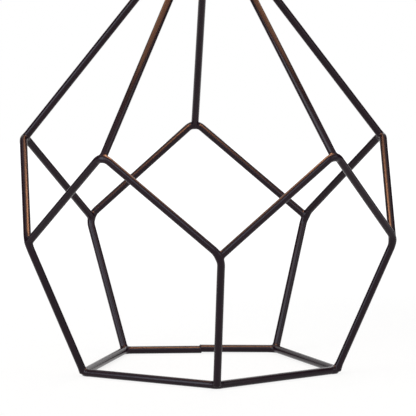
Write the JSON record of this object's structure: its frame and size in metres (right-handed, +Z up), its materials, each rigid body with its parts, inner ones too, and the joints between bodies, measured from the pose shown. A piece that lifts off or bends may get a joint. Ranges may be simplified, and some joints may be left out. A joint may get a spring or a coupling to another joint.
{
  "type": "table lamp",
  "caption": "Table lamp with an open faceted wire base, a turn-knob socket, a harp and a tapered drum shade held by a finial.",
  "frame": {"origin": "on the table, under the lamp's axis, at the underside of the foot ring", "axes": "+Z up along the lamp's axis, -Y towards the front, where the switch knob and a lower corner of the base point"},
  "size_m": [0.331, 0.331, 0.5415],
  "materials": {
    "bronze_paint": "satin dark bronze paint over steel rod",
    "harp_bronze": "satin antique bronze plate",
    "zinc_steel": "bright zinc plate",
    "socket_brass": "brushed antique brass",
    "contact_brass": "plain rolled brass",
    "liner_card": "dark vulcanised fibre",
    "socket_phenolic": "moulded black phenolic",
    "knob_black": "polished black moulding",
    "bushing_black": "satin black moulding",
    "bulb_frosted": "inside-frosted glass",
    "bulb_clear": "clear glass",
    "bulb_tungsten": "drawn wire",
    "bulb_metal": "rolled aluminium",
    "bulb_insulation": "black glass",
    "shade_wire": "satin brass plate",
    "shade_linen": "oatmeal linen on a white lining",
    "trim_tape": "self-coloured linen tape"
  },
  "bodies": {
    "lamp": {"base_ring": "bronze_paint", "frame_wire_1": "bronze_paint", "frame_wire_2": "bronze_paint", "frame_wire_3": "bronze_paint", "frame_wire_4": "bronze_paint", "frame_wire_5": "bronze_paint", "top_rod_1": "bronze_paint", "top_rod_2": "bronze_paint", "top_rod_3": "bronze_paint", "top_rod_4": "bronze_paint", "top_rod_5": "bronze_paint", "collar": "bronze_paint", "check_ring": "bronze_paint", "neck": "bronze_paint", "finial": "bronze_paint", "harp_saddle": "harp_bronze", "harp_bow": "harp_bronze", "harp_stud": "harp_bronze", "lamp_pipe": "zinc_steel", "pipe_washer": "zinc_steel", "pipe_nut": "zinc_steel", "socket_cap": "socket_brass", "socket_shell": "socket_brass", "screw_shell": "contact_brass", "center_contact": "contact_brass", "socket_liner": "liner_card", "socket_body": "socket_phenolic", "cord_bushing": "bushing_black", "bulb_glass": "bulb_frosted", "bulb_stem": "bulb_clear", "bulb_filament": "bulb_tungsten", "bulb_cap": "bulb_metal", "bulb_contact": "bulb_metal", "bulb_insulator": "bulb_insulation"},
    "shade": {"shade_panel": "shade_linen", "shade_bottom_ring": "shade_wire", "shade_top_ring": "shade_wire", "spider_hub": "shade_wire", "spider_arm_1": "shade_wire", "spider_arm_2": "shade_wire", "spider_arm_3": "shade_wire", "shade_top_trim": "trim_tape", "shade_bottom_trim": "trim_tape"},
    "switch": {"switch_shaft": "zinc_steel", "switch_knob": "knob_black"},
    "sleeve_left": {"harp_sleeve_left": "harp_bronze"},
    "sleeve_right": {"harp_sleeve_right": "harp_bronze"}
  },
  "joints": [
    {"name": "shade_turn", "type": "hinge", "parent": "lamp", "child": "shade", "pos_m": [0, 0, 0.5135], "axis": [0, 0, 1], "continuous": true},
    {"name": "switch_turn", "type": "hinge", "parent": "lamp", "child": "switch", "pos_m": [0, -0.0192, 0.3615], "axis": [0, -1, 0], "continuous": true},
    {"name": "sleeve_left_lift", "type": "slide", "parent": "lamp", "child": "sleeve_left", "axis": [0, 0, 1], "range_m": [0, 0.015]},
    {"name": "sleeve_right_lift", "type": "slide", "parent": "lamp", "child": "sleeve_right", "axis": [0, 0, 1], "range_m": [0, 0.015]}
  ]
}
